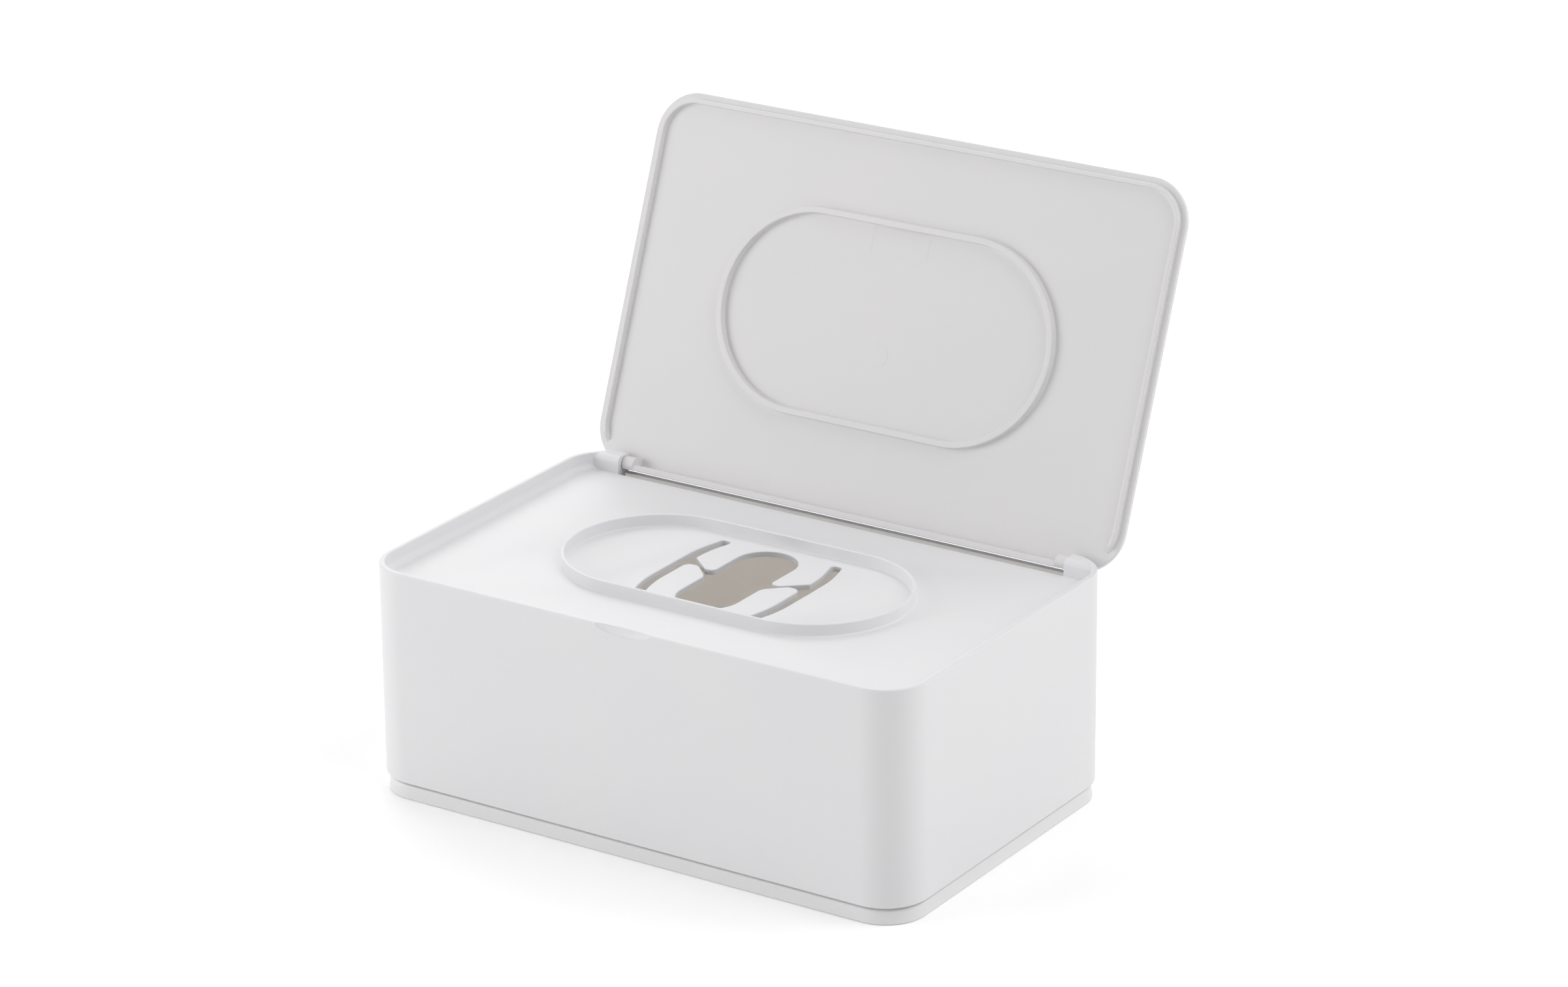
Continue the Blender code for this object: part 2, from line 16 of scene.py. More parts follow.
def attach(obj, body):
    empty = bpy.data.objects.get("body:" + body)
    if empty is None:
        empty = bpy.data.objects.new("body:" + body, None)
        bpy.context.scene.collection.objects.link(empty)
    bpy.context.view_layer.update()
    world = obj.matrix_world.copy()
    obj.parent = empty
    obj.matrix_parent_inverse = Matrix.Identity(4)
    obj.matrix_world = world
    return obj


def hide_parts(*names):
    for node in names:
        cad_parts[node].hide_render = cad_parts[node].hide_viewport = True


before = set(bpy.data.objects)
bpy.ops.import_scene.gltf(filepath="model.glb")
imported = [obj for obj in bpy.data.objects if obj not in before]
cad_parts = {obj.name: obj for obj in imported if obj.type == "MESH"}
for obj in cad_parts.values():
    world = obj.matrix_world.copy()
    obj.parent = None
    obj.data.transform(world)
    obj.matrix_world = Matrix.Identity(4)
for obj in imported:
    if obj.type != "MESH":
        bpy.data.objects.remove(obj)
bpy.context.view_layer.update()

# %% [markdown]
# ## Curves in plan
# Almost everything here is a moulded wall that follows a rounded outline: the body, the
# lid, the collar, the seal and the hole. So one function draws such an outline from its
# corners, and returns the outward normal at each point. A bevelled cube could make the
# body, but not the same even fillets on a stadium or on the hole with its tongues.
# All lengths in these functions are millimetres; the mesh is made in metres at the end.

# %% A rounded outline with its normals
MM = 0.001


def rounded_path(corners, steps=14):
    """Closed outline from corners (x, y, radius), anticlockwise.

    Each corner becomes the arc that is tangent to both its sides. Its centre lies on the
    corner's bisector, radius / sin(half the angle) away, and the angle along the arc runs
    evenly from one tangent point to the other. The outward normal is the arc's own
    direction, turned round where the corner is hollow.
    """
    table = np.array(corners, float)
    corner, radius = table[:, :2], table[:, 2:]
    to_last = np.roll(corner, 1, 0) - corner
    to_next = np.roll(corner, -1, 0) - corner
    to_last /= np.linalg.norm(to_last, axis=1, keepdims=True)
    to_next /= np.linalg.norm(to_next, axis=1, keepdims=True)
    half = np.arccos(np.clip((to_last * to_next).sum(1, keepdims=True), -1, 1)) / 2
    bisector = to_last + to_next
    bisector /= np.linalg.norm(bisector, axis=1, keepdims=True)
    centre = corner + bisector * radius / np.sin(half)
    first = to_last / np.tan(half) - bisector / np.sin(half)
    last = to_next / np.tan(half) - bisector / np.sin(half)
    start = np.arctan2(first[:, 1], first[:, 0])
    sweep = np.arctan2(last[:, 1], last[:, 0]) - start
    sweep = (sweep + np.pi) % (2 * np.pi) - np.pi
    angle = start[:, None] + sweep[:, None] * np.linspace(0, 1, steps)[None, :]
    ray = np.stack([np.cos(angle), np.sin(angle)], axis=2)
    points = centre[:, None, :] + radius[:, None, :] * ray
    normals = ray * np.sign(sweep)[:, None, None]
    return points.reshape(-1, 2), normals.reshape(-1, 2)


def rounded_rectangle(width, depth, radius, steps=24, middle=(0.0, 0.0)):
    """The outline of a rectangle with round corners; a full end radius makes a stadium."""
    x, y = width / 2, depth / 2
    corners = [(x, -y, radius), (x, y, radius), (-x, y, radius), (-x, -y, radius)]
    points, normals = rounded_path(corners, steps)
    return points + np.array(middle), normals


body_path = rounded_rectangle(190.0, 120.0, 14.0)
print("body outline:", len(body_path[0]), "points")

# %% [markdown]
# ## A profile carried along the outline
# A wall with its rounded edges is one profile, carried round the outline: each point of
# the profile says how far out along the normal it stands, and how high. The two numbers
# of the grid are the place along the outline and the place along the profile. That gives
# exact fillets of any radius, which a Bevel modifier would only approach.

# %% Profiles and grids
def bend(out, up, radius, start, end, steps=8):
    """An arc of a profile about (out, up), with its angles in degrees."""
    angle = np.radians(np.linspace(start, end, steps + 1))
    return np.stack([out + radius * np.cos(angle), up + radius * np.sin(angle)], axis=1)


def profile(*pieces):
    """Join arcs and single points (out, up) into one profile."""
    return np.concatenate([np.atleast_2d(np.array(piece, float)) for piece in pieces])


def flare(out, up, radius, beyond=1.0, steps=8):
    """The top of a cutter that rounds the edge it leaves, then runs on past the face.

    The arc turns from upright to nearly level. It ends 10 degrees short of level, so that
    it crosses the face cleanly, and goes on straight and then up.
    """
    arc = bend(out + radius, up - radius, radius, 180, 100, steps)
    slope = (arc[-1] - arc[-2]) / np.linalg.norm(arc[-1] - arc[-2])
    past = arc[-1] + slope * radius * 0.35
    return profile(arc, past, (past[0], up + beyond))


def carried(path, section, closed=False):
    """Grid of points: path + out * normal in plan, up in height.

    The section is one profile for the whole path, or has one column for each path point.
    The result is (grid, closed), with the profile along the first axis.
    """
    points, normals = path
    section = np.asarray(section, float)
    if section.ndim == 2:
        section = np.repeat(section[:, None, :], len(points), axis=1)
    plan = points[None, :, :] + section[:, :, :1] * normals[None, :, :]
    return np.concatenate([plan, section[:, :, 1:]], axis=2), closed


def along_x(shape):
    """Lay a shape on its side: its plan becomes Y and Z, and its height becomes X."""
    grid, closed = shape
    return np.roll(grid, 1, axis=2), closed


# %% [markdown]
# ## From grids to meshes
# Each grid is turned into quads by index arithmetic. An open profile gets a flat face at
# both its ends, so that every shape is closed; a closed profile makes a ring. Several
# shapes may share one mesh, as the lid's plate, lip and ribs do.

# %% Meshes from grids
def put_in_scene(name, data):
    """A new object for this mesh, lamp or camera, linked into the scene."""
    made = bpy.data.objects.new(name, data)
    bpy.context.scene.collection.objects.link(made)
    return made


def mesh_piece(name, shapes):
    """One object from closed grids, with quads and end faces pointing out."""
    vertices, faces, start = [], [], 0
    for grid, closed in shapes:
        rows, columns = grid.shape[:2]
        index = np.arange(rows * columns).reshape(rows, columns) + start
        lower = index if closed else index[:-1]
        upper = np.roll(index, -1, axis=0) if closed else index[1:]
        quads = np.stack([lower, np.roll(lower, -1, axis=1),
                          np.roll(upper, -1, axis=1), upper], axis=2)
        faces += quads.reshape(-1, 4).tolist()
        if not closed:
            faces += [index[0, ::-1].tolist(), index[-1].tolist()]
        vertices.append(grid.reshape(-1, 3))
        start += rows * columns
    mesh = bpy.data.meshes.new(name)
    mesh.from_pydata((np.concatenate(vertices) * MM).tolist(), [], faces)
    mesh.update()
    return put_in_scene(name, mesh)


def carve(target, steps):
    """Run Boolean steps (shapes, operation) on an object and keep the result as its mesh."""
    tools = []
    for number, (shapes, operation) in enumerate(steps):
        if isinstance(shapes, bpy.types.Object):
            tool = shapes
        else:
            tool = mesh_piece(f"{target.name}_tool_{number}", shapes)
        tools.append(tool)
        change = target.modifiers.new(tool.name, "BOOLEAN")
        change.operation = operation
        change.solver = "EXACT"
        change.object = tool
    bpy.context.view_layer.update()
    depsgraph = bpy.context.evaluated_depsgraph_get()
    carved = bpy.data.meshes.new_from_object(target.evaluated_get(depsgraph))
    target.modifiers.clear()
    target.data = carved
    for tool in tools:
        bpy.data.objects.remove(tool, do_unlink=True)
    return target


def finish_surface(piece, sharp_degrees=36):
    """Shade smooth with sharp creases, and let large flat faces keep their own normals."""
    piece.data.shade_smooth()
    piece.data.set_sharp_from_angle(angle=math.radians(sharp_degrees))
    weighted = piece.modifiers.new("flat faces lead", "WEIGHTED_NORMAL")
    weighted.mode = "FACE_AREA"
    weighted.weight = 90
    weighted.keep_sharp = True
    print(piece.name, "has", len(piece.data.polygons), "faces")


# %% [markdown]
# ## The body shell
# The shell is one moulding: four walls, a deck sunk 5 mm below the rim, two posts that
# carry the hinge, and a trough between them. It starts as a full block with rounded
# edges, and cutters with rounded edges of their own take out the rest, in the way that a
# mould's cores do. The recess above the deck is a core with a 2 mm radius at its foot.

# %% The block, the cavity and the recess above the deck
RIM_TOP = 73.4
DECK_TOP = 68.3
DECK_UNDERSIDE = 66.5
SHELL_FOOT = 5.4
AXIS_Y, AXIS_Z = 58.1, 70.57
NOTCH_HALF = 80.75
CAVITY = (186.0, 116.0, 12.0)

shell = mesh_piece("shell_surface", [carried(body_path, profile(
    bend(-0.5, SHELL_FOOT + 0.5, 0.5, -90, 0), bend(-0.6, RIM_TOP - 0.6, 0.6, 0, 90)))])
cavity = carried(rounded_rectangle(*CAVITY), profile(
    (0, SHELL_FOOT - 2), (0, DECK_UNDERSIDE)))
recess = mesh_piece("recess_core", [carried(rounded_rectangle(186.4, 116.4, 12.2), profile(
    bend(-2.0, DECK_TOP + 2.0, 2.0, -90, 0, 10), flare(0, RIM_TOP, 0.4)))])
print("rim stands", round(RIM_TOP - DECK_TOP, 2), "mm above the deck")

# %% [markdown]
# ## The hinge posts and the trough
# The posts are what the recess core leaves standing in the rear corners. Their front
# edge is rounded where the lid's lip comes down, and their rear edge follows a circle
# about the hinge axis, so that the lid clears it as it swings.

# %% Posts, trough and the round rear edge
def side_section(points):
    """A cutter's outline in Y and Z, with normals that are never used."""
    points = np.array(points, float)
    return points, np.zeros_like(points)


POST_FRONT, TROUGH_FRONT, TROUGH_FLOOR = 54.1, 53.9, 62.8
past_both_sides = profile((0, -97), (0, 97))

post_edge = flare(POST_FRONT, RIM_TOP, 2.2, 2.0, 14)
post_core = along_x(carried(side_section(np.concatenate([
    [(POST_FRONT, 60.0), (64.0, 60.0), (64.0, RIM_TOP + 2.0)], post_edge[::-1]])),
    past_both_sides))
recess = carve(recess, [([post_core], "DIFFERENCE")])

trough_edge = flare(0, DECK_TOP, 0.35, 7.0) * (-1, 1) + (TROUGH_FRONT, 0)
trough = along_x(carried(side_section(np.concatenate([
    [(58.2, TROUGH_FLOOR), (58.2, 67.2), (58.26, 67.34), (58.4, 67.4), (61.5, 67.4),
     (61.5, DECK_TOP + 7.0)], trough_edge[::-1], [(TROUGH_FRONT, TROUGH_FLOOR)]])),
    profile((0, -NOTCH_HALF), (0, NOTCH_HALF))))
housing = carried(rounded_rectangle(2 * NOTCH_HALF + 3.2, 6.9, 0.5, 4, (0, 55.75)), profile(
    (0, 61.2), (0, DECK_UNDERSIDE + 1)))

swing = bend(AXIS_Y, AXIS_Z, 2.83, 0, 84, 16)
swing_run = swing[-1] + (swing[-1] - swing[-2]) * 1.5
rear_edge = along_x(carried(side_section(np.concatenate([
    swing, [swing_run, (swing_run[0], 76.0), (62.0, 76.0), (62.0, AXIS_Z)]])),
    past_both_sides))
print("posts start", NOTCH_HALF, "mm out from the middle")

# %% [markdown]
# ## The dispensing opening
# Wipes come up through a long oval between two slots. Two diagonal gaps join them, and
# leave four soft tongues that hold the next wipe. The outline is drawn from its corners
# on one side and mirrored. Its cutter flares at the top, because the real edge is
# rounded over by about a third of a millimetre.

# %% The opening's outline and its cutter
OPENING_RIGHT = [
    (10.0, 25.1, 10.0), (10.0, 2.4, 1.7), (13.1, 2.4, 1.7), (20.4, 8.4, 0.9),
    (20.4, 14.0, 40.0), (17.8, 24.6, 1.4), (21.55, 24.6, 1.4), (24.15, 14.0, 40.0),
    (24.15, -14.0, 40.0), (21.55, -24.6, 1.4), (17.8, -24.6, 1.4), (20.4, -14.0, 40.0),
    (20.4, 3.3, 2.4), (16.1, 3.3, 2.4), (10.0, -2.6, 4.0), (10.0, -25.1, 10.0),
]
opening_corners = [(-x, y, r) for x, y, r in OPENING_RIGHT] + OPENING_RIGHT[::-1]
opening_path = rounded_path(opening_corners, 12)
opening = carried(opening_path, profile((0, DECK_UNDERSIDE - 1), flare(0, DECK_TOP, 0.35)))
print("opening outline:", len(opening_path[0]), "points")

# %% [markdown]
# ## The collar
# A thin wall stands round the opening, and the lid's seal presses over it. It is a ring:
# one closed profile with a rounded top and a small fillet at each foot, carried round a
# stadium. The foot starts inside the deck, so that the two join without a seam.

# %% The collar, the scoop and the pin holes
COLLAR_TOP = DECK_TOP + 3.9
collar = carried(rounded_rectangle(115.0, 60.0, 30.0, 40), profile(
    (0.6, DECK_TOP - 0.9), (0.6, DECK_TOP - 0.05), bend(0.5, DECK_TOP + 0.5, 0.5, 260, 180, 5),
    bend(-0.4, COLLAR_TOP - 0.4, 0.4, 0, 90, 5), bend(-0.6, COLLAR_TOP - 0.4, 0.4, 90, 180, 5),
    bend(-1.5, DECK_TOP + 0.5, 0.5, 0, -80, 5), (-1.6, DECK_TOP - 0.05),
    (-1.6, DECK_TOP - 0.9)), closed=True)


def ball(centre, half_sizes, columns=48, rows=24):
    """Closed grid of an ellipsoid: latitude along the first axis, longitude round it."""
    latitude = np.radians(np.linspace(-89.0, 89.0, rows))[:, None]
    turn = np.linspace(0, 2 * np.pi, columns, endpoint=False)[None, :]
    unit = np.stack([np.cos(latitude) * np.cos(turn), np.cos(latitude) * np.sin(turn),
                     np.sin(latitude) * np.ones_like(turn)], axis=2)
    return unit * np.array(half_sizes) + np.array(centre), False


def round_bar(x_low, x_high, radius, y=AXIS_Y, z=AXIS_Z, steps=32):
    """A round bar along X, with flat ends."""
    turn = np.linspace(0, 2 * np.pi, steps, endpoint=False)
    ring = np.stack([y + radius * np.cos(turn), z + radius * np.sin(turn)], axis=1)
    return along_x(carried((ring, np.zeros_like(ring)), profile((0, x_low), (0, x_high))))


scoop = ball((0.0, -60.1, RIM_TOP + 0.1), (10.0, 1.2, 2.9))
HOLE_INNER, HOLE_OUTER, HOLE_RADIUS = 77.35, 84.45, 1.1
pin_holes = [round_bar(HOLE_INNER, HOLE_OUTER, HOLE_RADIUS),
             round_bar(-HOLE_OUTER, -HOLE_INNER, HOLE_RADIUS)]
carve(shell, [
    ([cavity], "DIFFERENCE"), ([housing], "UNION"), (recess, "DIFFERENCE"),
    ([trough], "DIFFERENCE"), ([rear_edge], "DIFFERENCE"), ([opening], "DIFFERENCE"),
    ([collar], "UNION"), ([scoop], "DIFFERENCE"),
    ([pin_holes[0]], "DIFFERENCE"), ([pin_holes[1]], "DIFFERENCE"),
])
finish_surface(shell)

# %% [markdown]
# ## Light through the walls
# A 2 mm wall of white plastic lets a little daylight through. Seen through the opening the
# inside is therefore a warm beige, not black. The faces of the cavity are marked with an
# attribute, and the material lets light in only where that is 1. Marked everywhere, it
# would blur the crisp edges of the collar and the rim.

# %% Mark the cavity's own faces
def mark_cavity(piece, outline, top):
    """Face attribute: 1 where a face's middle lies within the cavity's rounded outline.

    The walls' own faces lie on that outline, so up to 0.4 mm past it still counts.
    """
    width, depth, radius = outline
    count = len(piece.data.polygons)
    middle = np.empty(count * 3)
    piece.data.polygons.foreach_get("center", middle)
    x, y, z = np.abs(middle.reshape(-1, 3).T) / MM
    past = np.hypot(np.maximum(x - width / 2 + radius, 0),
                    np.maximum(y - depth / 2 + radius, 0))
    inside = (past < radius + 0.4) & (z < top + 0.05) & (z > SHELL_FOOT + 0.05)
    mark = piece.data.attributes.new("cavity", "FLOAT", "FACE")
    mark.data.foreach_set("value", inside.astype(np.float32))
    return int(inside.sum())


print("cavity faces:", mark_cavity(shell, CAVITY, DECK_UNDERSIDE))

# %% [markdown]
# ## The lid
# The lid is worked out closed, where every height is easy to read, and then turned open
# about the hinge axis. A flat plate carries a lip that drops inside the rim, a seal rib
# that goes round the collar, and a rear bar that ends in two knuckles. Each is a closed
# shape of its own, sunk a little into the plate, so no Boolean is needed.

# %% The plate, and the lip that fades out near the hinge
LID_FACE = 73.7
LID_TOP = 76.0
OPEN_ANGLE = math.radians(111.7)
plate = carried(body_path, profile(
    bend(-0.4, LID_FACE + 0.4, 0.4, -90, 0, 5), bend(-1.1, LID_TOP - 1.1, 1.1, 0, 90, 10)))


def finely_split(path, longest):
    """Add points along the straight sides, so that none is longer than given."""
    points, normals = path
    loop = np.vstack([points, points[:1]])
    run = np.concatenate([[0], np.cumsum(np.linalg.norm(np.diff(loop, axis=0), axis=1))])
    even = np.linspace(0, run[-1], int(run[-1] / longest) + 1)[:-1]
    place = np.unique(np.round(np.concatenate([run[:-1], even]), 5))
    columns = np.hstack([loop, np.vstack([normals, normals[:1]])])
    spread = np.stack([np.interp(place, run, column) for column in columns.T], axis=1)
    return spread[:, :2], spread[:, 2:]


def hanging_ring(path, outer, inner, height, tip=0.3, foot=0.35):
    """A closed ring below the lid's face; height is one number for each path point."""
    shape = profile(
        (inner - foot, -0.4), bend(inner - foot, foot, foot, -90, 0, 5),
        bend(inner + tip, 1 - tip, tip, 180, 90, 5), bend(outer - tip, 1 - tip, tip, 90, 0, 5),
        bend(outer + foot, foot, foot, 180, 270, 5), (outer + foot, -0.4))
    drop = shape[:, 1:]
    scale = np.where(drop > 0.5, drop + height[None, :] - 1, np.minimum(drop, height[None, :]))
    section = np.stack([np.repeat(shape[:, :1], len(height), axis=1), LID_FACE - scale], axis=2)
    return carried(path, section, closed=True)


LIP_END, LIP_FADE, LIP_HEIGHT, LIP_SUNK = 55.0, 4.0, 1.7, 0.25
lip_path = finely_split(body_path, 2.0)
fade = np.clip((LIP_END - lip_path[0][:, 1]) / LIP_FADE, 0, 1)
lip_height = (LIP_HEIGHT + LIP_SUNK) * fade * fade * (3 - 2 * fade) - LIP_SUNK
lip = hanging_ring(lip_path, -2.1, -3.4, lip_height)
seal_path = rounded_rectangle(115.7, 60.7, 30.35, 40)
seal = hanging_ring(seal_path, 1.95, 0.0, np.full(len(seal_path[0]), 2.1))
print("lip stands", round(float(lip_height.max()), 2), "mm tall at the front")

# %% [markdown]
# ## The rear bar and the knuckles
# The bar closes the notch between the posts when the lid is shut. A knuckle at each end
# turns on its pin: round below the axis, and a block up into the plate above it.

# %% Bar, knuckles and small marks of the mould
KNUCKLE_INNER, KNUCKLE_OUTER, KNUCKLE_RADIUS = 76.45, 80.45, 2.3

bar_section = rounded_path([(59.9, LID_FACE - 4.9, 0.3), (59.9, LID_FACE + 0.8, 0.1),
                            (58.1, LID_FACE + 0.8, 0.1), (58.1, LID_FACE - 4.9, 0.3)], 6)
bar = along_x(carried(bar_section, profile((0, -79.0), (0, 79.0))))
under = bend(AXIS_Y, AXIS_Z, KNUCKLE_RADIUS, 180, 308, 24)
knuckle_section = np.concatenate([
    under, [(59.6, LID_FACE - 4.93), (59.81, LID_FACE - 4.84), (59.9, LID_FACE - 4.63),
            (59.9, LID_FACE + 0.8), (AXIS_Y - KNUCKLE_RADIUS, LID_FACE + 0.8)]])


def loop_normals(points):
    """Outward normals of an anticlockwise loop, from the chord between its neighbours."""
    chord = np.roll(points, -1, axis=0) - np.roll(points, 1, axis=0)
    normal = np.stack([chord[:, 1], -chord[:, 0]], axis=1)
    return normal / np.linalg.norm(normal, axis=1, keepdims=True)


knuckle_path = (knuckle_section, loop_normals(knuckle_section))
knuckle_ends = profile(
    (-0.25, KNUCKLE_INNER), (-0.07, KNUCKLE_INNER + 0.07), (0, KNUCKLE_INNER + 0.25),
    (0, KNUCKLE_OUTER - 0.25), (-0.07, KNUCKLE_OUTER - 0.07), (-0.25, KNUCKLE_OUTER))
right_knuckle = along_x(carried(knuckle_path, knuckle_ends))
left_knuckle = along_x(carried(knuckle_path, (knuckle_ends * (1, -1))[::-1]))

bead_path = rounded_rectangle(14.0, 1.2, 0.5, 6, (0.0, -30.75))
bead = carried(bead_path, profile((-0.2, 71.85), (0, 72.05), (0, 72.35), (-0.2, 72.65)))
mark_path = rounded_rectangle(20.0, 8.4, 0.3, 4, (0.0, -25.7))
mark = carried(mark_path, profile((-0.1, 73.75), (-0.1, 73.66), (0.0, 73.63), (0.1, 73.66),
                                  (0.1, 73.75)), closed=True)
gate = carried(rounded_rectangle(7.6, 7.6, 3.8, 12, (-0.5, 9.0)), profile(
    (-0.25, 73.62), (0, 73.68), (0, 73.8)))
print("knuckles are", round(KNUCKLE_OUTER - KNUCKLE_INNER, 2), "mm wide")


# %% Swing the lid open
def opened(shape):
    """Turn a closed-lid shape about the hinge axis: the front edge goes up and back."""
    grid, closed = shape
    y, z = grid[..., 1] - AXIS_Y, grid[..., 2] - AXIS_Z
    turned = np.stack([grid[..., 0],
                       AXIS_Y + y * math.cos(OPEN_ANGLE) + z * math.sin(OPEN_ANGLE),
                       AXIS_Z - y * math.sin(OPEN_ANGLE) + z * math.cos(OPEN_ANGLE)], axis=-1)
    return turned, closed


lid_shapes = [plate, lip, seal, bar, right_knuckle, left_knuckle, bead, mark, gate]
lid = mesh_piece("lid_surface", [opened(shape) for shape in lid_shapes])
finish_surface(lid)

# %% [markdown]
# ## The bottom tray
# Under the shell a shallow tray shows as a narrow band, set in a little and leaning in
# a little as it rises. A groove between the two lies in shade, and reads as a soft line.
# The whole tray is one profile: round the foot, up the band, in over the ledge, up and
# over the spigot that holds the shell, and down to the floor.

# %% The tray in one profile
tray_path = rounded_rectangle(188.4, 118.4, 13.2)

tray = mesh_piece("tray_surface", [carried(tray_path, profile(
    bend(-0.25, 0.25, 0.25, -90, 0, 4), bend(-0.95, 3.75, 0.6, 5, 85, 8),
    (-1.5, 4.4), bend(-1.9, 14.7, 0.4, 0, 90, 5), bend(-2.7, 14.7, 0.4, 90, 180, 5),
    bend(-4.6, 3.5, 1.5, 0, -90, 8)))])
finish_surface(tray)

# %% [markdown]
# ## White polypropylene
# The mouldings are polypropylene, pigmented white. Its surface comes from a finely
# eroded steel mould, so it is matte with a faint sheen at glancing angles. The eroded
# grain is about a tenth of a millimetre wide in life. It is drawn at about a third of a
# millimetre here, so that it shows.

# %% Colours and small node helpers
def colour(code):
    """A colour written as sRGB hex, as the linear value that the shader needs."""
    value = np.array([int(code[i:i + 2], 16) for i in (0, 2, 4)]) / 255
    linear = np.where(value <= 0.04045, value / 12.92, ((value + 0.055) / 1.055) ** 2.4)
    return (*linear.tolist(), 1.0)


def add(tree, kind, settings=None, inputs=None):
    """Add one node, set its properties, and fill or link its inputs, by name or number."""
    node = tree.nodes.new(kind)
    for name, value in (settings or {}).items():
        setattr(node, name, value)
    for name, value in (inputs or {}).items():
        if isinstance(value, bpy.types.NodeSocket):
            tree.links.new(value, node.inputs[name])
        else:
            node.inputs[name].default_value = value
    return node


def new_material(name):
    """A material with nodes, its tree and its Principled shader."""
    material = bpy.data.materials.new(name)
    material.use_nodes = True
    return material, material.node_tree, material.node_tree.nodes["Principled BSDF"]


# %% The moulded plastic
GRAIN = 1 / (0.35 * MM)


def moulded_polypropylene(name, pale, shade, grain_strength):
    """White polypropylene from an eroded mould: two near whites, grain, soft gloss."""
    material, tree, shader = new_material(name)
    place = add(tree, "ShaderNodeTexCoord").outputs["Object"]
    cloud = add(tree, "ShaderNodeTexNoise", None,
                {"Vector": place, "Scale": 1 / (35 * MM), "Detail": 2.0})
    tone = add(tree, "ShaderNodeMix", {"data_type": "RGBA"},
               {"Factor": cloud.outputs["Fac"], "A": colour(pale), "B": colour(shade)})
    tree.links.new(tone.outputs["Result"], shader.inputs["Base Color"])
    grain = add(tree, "ShaderNodeTexNoise", None,
                {"Vector": place, "Scale": GRAIN, "Detail": 3.0, "Roughness": 0.6})
    gloss = add(tree, "ShaderNodeMapRange", None,
                {"Value": grain.outputs["Fac"], "To Min": 0.40, "To Max": 0.52})
    tree.links.new(gloss.outputs["Result"], shader.inputs["Roughness"])
    bump = add(tree, "ShaderNodeBump", None,
               {"Height": grain.outputs["Fac"], "Distance": 0.02 * MM,
                "Strength": grain_strength})
    tree.links.new(bump.outputs["Normal"], shader.inputs["Normal"])
    shader.inputs["IOR"].default_value = 1.49
    return material


shell_plastic = moulded_polypropylene("shell_polypropylene", "ECECED", "E9E9EB", 0.35)
# The lid's two whites are written a little darker than the shell's: painted shade, standing in
# for less light on the lid.
lid_plastic_painted_shade = moulded_polypropylene("lid_polypropylene_painted_shade", "E5E3E4", "E2E1E2", 0.30)
# The tray's two whites are written a little lighter than the shell's: painted light, standing in
# for the bright floor lighting the band from below.
tray_plastic_painted_light = moulded_polypropylene("tray_polypropylene_painted_light", "EEEDED", "EBEAEA", 0.35)
print("plastics:", shell_plastic.name, lid_plastic_painted_shade.name, tray_plastic_painted_light.name)


# %% Light that comes through the shell's walls
def let_light_through(material, radius, scale):
    """Subsurface light on the faces marked as cavity; red travels furthest, so it is warm."""
    tree = material.node_tree
    shader = tree.nodes["Principled BSDF"]
    mark = add(tree, "ShaderNodeAttribute", {"attribute_name": "cavity"})
    tree.links.new(mark.outputs["Fac"], shader.inputs["Subsurface Weight"])
    shader.inputs["Subsurface Radius"].default_value = radius
    shader.inputs["Subsurface Scale"].default_value = scale


let_light_through(shell_plastic, (1.0, 0.85, 0.7), 14 * MM)

# %% [markdown]
# ## Steel pins
# The pins are drawn stainless wire, so fine lines run along them. They hide in their
# holes, but they show when the model is taken apart.

# %% The drawn steel
def drawn_steel(name):
    """Stainless wire: grey metal whose roughness varies in lines along X."""
    material, tree, shader = new_material(name)
    place = add(tree, "ShaderNodeTexCoord").outputs["Object"]
    stretch = add(tree, "ShaderNodeMapping", None, {"Vector": place, "Scale": (0.04, 1, 1)})
    lines = add(tree, "ShaderNodeTexNoise", None,
                {"Vector": stretch.outputs["Vector"], "Scale": 1 / (0.12 * MM), "Detail": 2.0})
    gloss = add(tree, "ShaderNodeMapRange", None,
                {"Value": lines.outputs["Fac"], "To Min": 0.22, "To Max": 0.38})
    tree.links.new(gloss.outputs["Result"], shader.inputs["Roughness"])
    shader.inputs["Base Color"].default_value = colour("C4C6C8")
    shader.inputs["Metallic"].default_value = 1.0
    return material


def dress(piece, finish):
    """Give a piece this one material."""
    piece.data.materials.clear()
    piece.data.materials.append(finish)


pin_steel = drawn_steel("drawn_stainless_steel")
for name in ("hinge_pin_left", "hinge_pin_right"):
    dress(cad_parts[name], pin_steel)
print("steel:", pin_steel.name)

# %% [markdown]
# ## Hang each surface on its body
# Every surface replaces one solid and rides with that solid's body, so the lid swings
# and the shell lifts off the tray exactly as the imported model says.

# %% Ride, replace and name the slots
for piece, body, node, finish in (
        (shell, "shell", "body_shell", shell_plastic),
        (lid, "lid", "lid", lid_plastic_painted_shade),
        (tray, "tray", "bottom_tray", tray_plastic_painted_light)):
    dress(piece, finish)
    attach(piece, body)
    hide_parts(node)
print("pieces ride on their bodies")

# %% [markdown]
# ## Studio
# The box stands on a white sweep. The floor keeps a soft shadow under the box, and what
# the camera sees past it is plain white. Large soft lamps above and to both sides sit
# over an even world light, so that the white plastic keeps its greys and never clips.

# %% The floor and the white behind it
WHITE = (1, 1, 1, 1)
FLOOR_LEVEL, FLOOR_GLOW = -0.0002, 0.20
floor_corners = [(-4, -4), (4, -4), (4, 6), (-4, 6)]

floor_mesh = bpy.data.meshes.new("floor")
floor_mesh.from_pydata([(x, y, FLOOR_LEVEL) for x, y in floor_corners], [], [(0, 1, 2, 3)])
floor = put_in_scene("floor", floor_mesh)
floor_material, floor_tree, floor_shader = new_material("white_sweep")
floor_shader.inputs["Base Color"].default_value = colour("FAFAFA")
floor_shader.inputs["Roughness"].default_value = 0.9


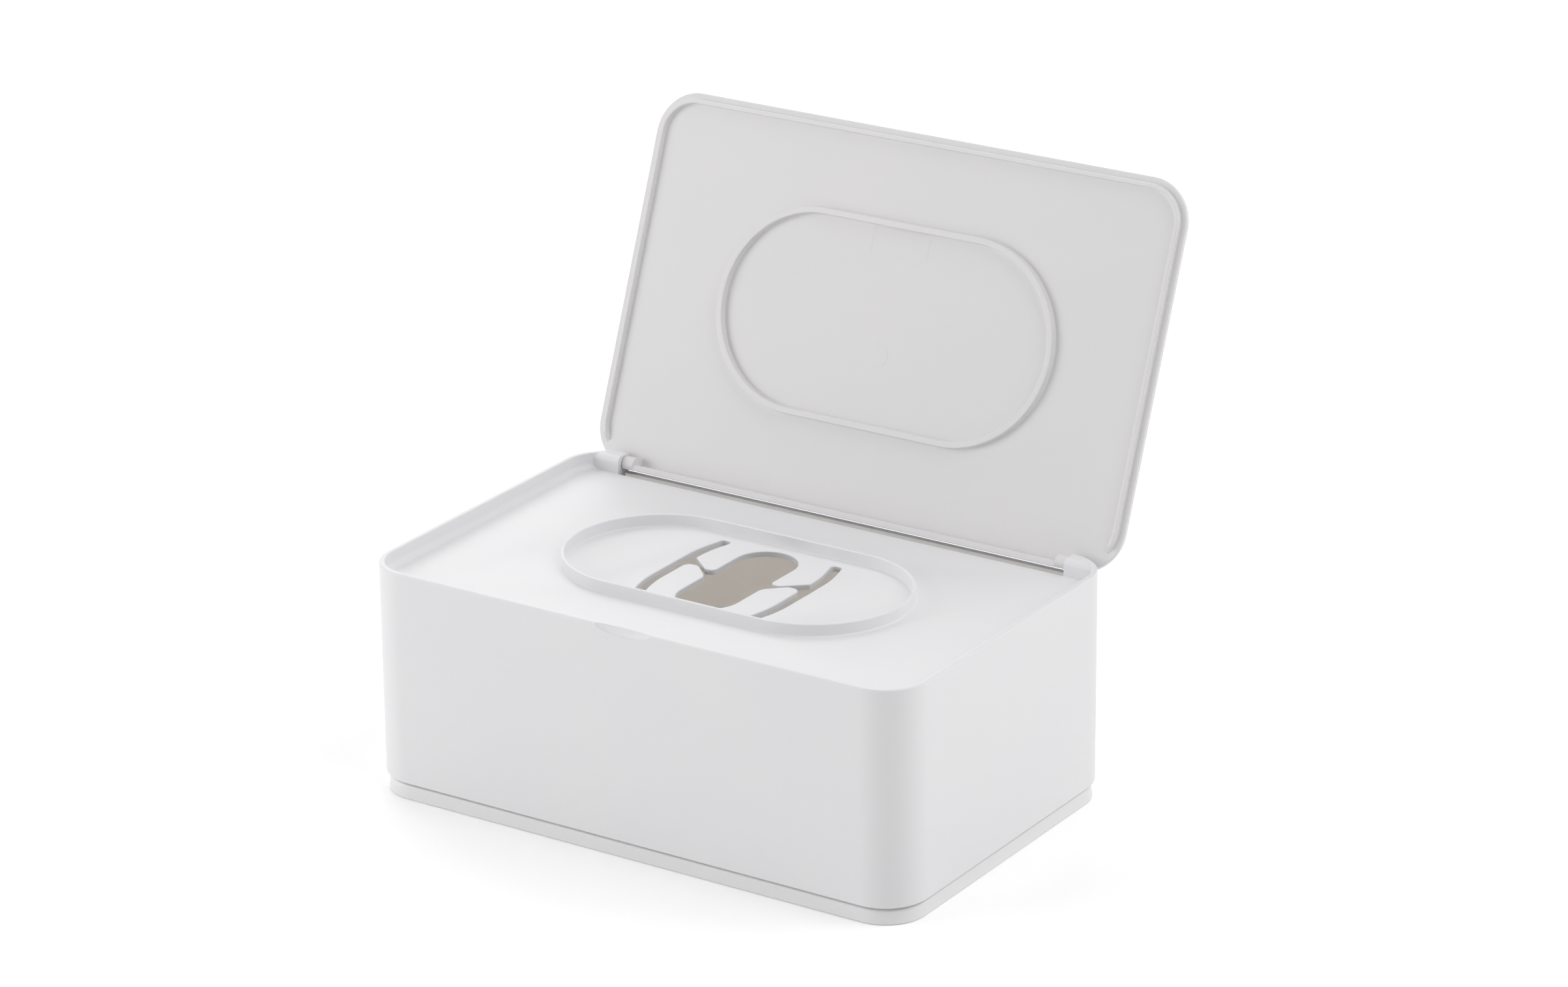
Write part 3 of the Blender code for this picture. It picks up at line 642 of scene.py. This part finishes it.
def seen_directly(tree):
    """1 for a ray from the camera, and for one that a gloss or a clear piece sends on."""
    ray = add(tree, "ShaderNodeLightPath")
    seen = ray.outputs["Is Camera Ray"]
    for kind in ("Is Glossy Ray", "Is Transmission Ray"):
        larger = add(tree, "ShaderNodeMath", {"operation": "MAXIMUM"},
                     {0: seen, 1: ray.outputs[kind]})
        seen = larger.outputs[0]
    return seen


lift = add(floor_tree, "ShaderNodeMath", {"operation": "MULTIPLY"},
           {0: seen_directly(floor_tree), 1: FLOOR_GLOW})
floor_glow = add(floor_tree, "ShaderNodeEmission", None,
                 {"Color": WHITE, "Strength": lift.outputs[0]})
both = add(floor_tree, "ShaderNodeAddShader", None,
           {0: floor_shader.outputs[0], 1: floor_glow.outputs[0]})
floor_tree.links.new(both.outputs[0], floor_tree.nodes["Material Output"].inputs["Surface"])
dress(floor, floor_material)

world = bpy.data.worlds.new("studio_white")
bpy.context.scene.world = world
world.use_nodes = True
world_tree = world.node_tree
soft = world_tree.nodes["Background"]
soft.inputs["Color"].default_value = WHITE
soft.inputs["Strength"].default_value = 0.30
backdrop = add(world_tree, "ShaderNodeBackground", None,
               {"Color": WHITE, "Strength": 1.0})
world_mix = add(world_tree, "ShaderNodeMixShader", None,
                {0: seen_directly(world_tree), 1: soft.outputs[0], 2: backdrop.outputs[0]})
world_tree.links.new(world_mix.outputs[0], world_tree.nodes["World Output"].inputs["Surface"])
print("floor and backdrop are set")


# %% The lamps
LAMP_AIM, LAMP_SIZE = (0, 0, 0.05), 1.4


def soft_lamp(name, place, power):
    """A square area lamp in metres and watts, turned to face the middle of the box."""
    lamp = bpy.data.lights.new(name, "AREA")
    lamp.size = LAMP_SIZE
    lamp.energy = power
    made = put_in_scene(name, lamp)
    made.location = place
    direction = np.array(place) - np.array(LAMP_AIM)
    flat = math.hypot(direction[0], direction[1])
    made.rotation_euler = (math.atan2(flat, direction[2]), 0.0,
                           math.atan2(direction[0], -direction[1]))


for name, place, power in (
        ("lamp_above_left", (-0.9, 0.9, 1.2), 11.0), ("lamp_above_right", (1.0, 0.1, 1.3), 11.5),
        ("lamp_front_left", (-1.5, -1.3, 0.6), 20.0), ("lamp_back_right", (1.5, 1.2, 0.7), 5.9)):
    soft_lamp(name, place, power)
print("lamps are lit")

# %% [markdown]
# ## Camera
# The camera stands where the photograph was taken from: a long lens from the front
# right, a little above, with a slight tilt to one side. Its place and lens come from the
# box's own edges as the photograph shows them.

# %% The camera
camera_data = bpy.data.cameras.new("studio_camera")
camera_data.sensor_width = 36.0
camera_data.lens = 127.694
camera_data.clip_end = 50.0
camera = put_in_scene("studio_camera", camera_data)
CAMERA_PLACE = (0.855535, -1.275862, 0.688864)
azimuth, elevation, roll = np.radians([33.316, 21.116, -0.536])
back = np.array([math.sin(azimuth) * math.cos(elevation),
                 -math.cos(azimuth) * math.cos(elevation), math.sin(elevation)])
right = np.array([math.cos(azimuth), math.sin(azimuth), 0.0])
up = np.cross(back, right)
turned_right = right * math.cos(roll) + up * math.sin(roll)
turned_up = up * math.cos(roll) - right * math.sin(roll)
matrix = np.eye(4)
matrix[:3, 0], matrix[:3, 1], matrix[:3, 2] = turned_right, turned_up, back
matrix[:3, 3] = CAMERA_PLACE
camera.matrix_world = Matrix(matrix.tolist())
bpy.context.scene.camera = camera
bpy.context.scene.view_settings.view_transform = "Standard"
print("camera is", round(float(np.linalg.norm(CAMERA_PLACE)), 3), "m from the box")
